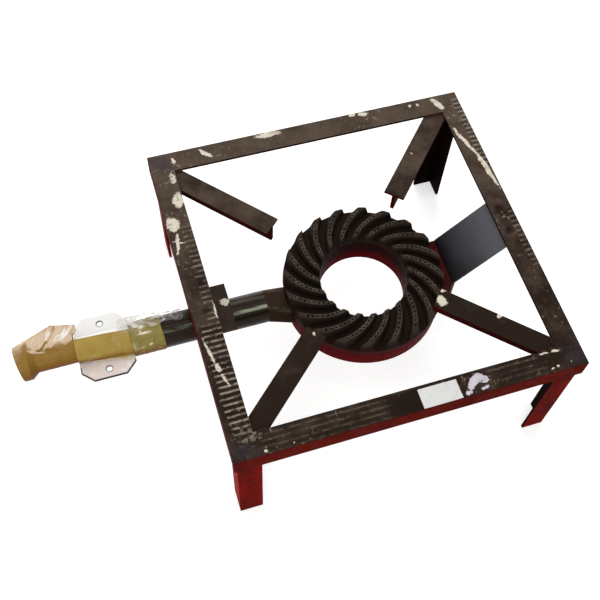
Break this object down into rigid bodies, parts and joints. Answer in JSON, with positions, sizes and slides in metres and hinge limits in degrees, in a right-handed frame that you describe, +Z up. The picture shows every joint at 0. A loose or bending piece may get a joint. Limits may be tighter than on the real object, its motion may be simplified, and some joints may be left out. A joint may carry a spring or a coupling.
{
  "type": "gas burner stove",
  "caption": "Square angle-iron stand with diagonal pot supports that carries a ribbed ring burner on a long mixer tube with an air shutter and gas jet at its end.",
  "frame": {"origin": "on the floor under the middle of the whole stove's box", "axes": "+X from the mixer's air mouth towards the stand, +Z up, front of the stand towards -Y"},
  "size_m": [0.5404, 0.365, 0.166],
  "materials": {
    "stand_paint": "thin red paint, dark and sooty on the upper faces",
    "burner_casting": "rough cast iron with red overspray low down",
    "strap_paint": "smooth blue-black scale",
    "tube_paint": "glossy black",
    "horn_metal": "as cast",
    "zinc": "zinc plated",
    "packing_tape": "clear tan film in several layers",
    "jet_brass": "turned"
  },
  "bodies": {
    "stand": {"front_bar": "stand_paint", "back_bar": "stand_paint", "left_bar": "stand_paint", "right_bar": "stand_paint", "front_left_leg": "stand_paint", "front_right_leg": "stand_paint", "back_left_leg": "stand_paint", "back_right_leg": "stand_paint", "front_left_support": "stand_paint", "front_right_support": "stand_paint", "back_left_support": "stand_paint", "back_right_support": "stand_paint", "burner_body": "burner_casting", "burner_strap": "strap_paint", "strap_bolts": "zinc", "strap_washers": "zinc", "tube_bracket": "stand_paint", "mixer_tube": "tube_paint", "venturi_horn": "horn_metal", "saddle_plate": "zinc", "mouth_tape": "packing_tape", "saddle_tape": "packing_tape", "tube_tape": "packing_tape", "mouth_plate": "zinc", "gas_jet": "jet_brass", "jet_nut": "jet_brass"},
    "burner_head": {"burner_head": "burner_casting"},
    "air_shutter": {"air_shutter": "zinc"}
  },
  "joints": [
    {"name": "head_lift", "type": "slide", "parent": "stand", "child": "burner_head", "axis": [0, 0, 1], "range_m": [0, 0.012]},
    {"name": "air_shutter_turn", "type": "hinge", "parent": "stand", "child": "air_shutter", "pos_m": [-0.26525, 0, 0.1115], "axis": [1, 0, 0], "range_deg": [0, 90]}
  ]
}
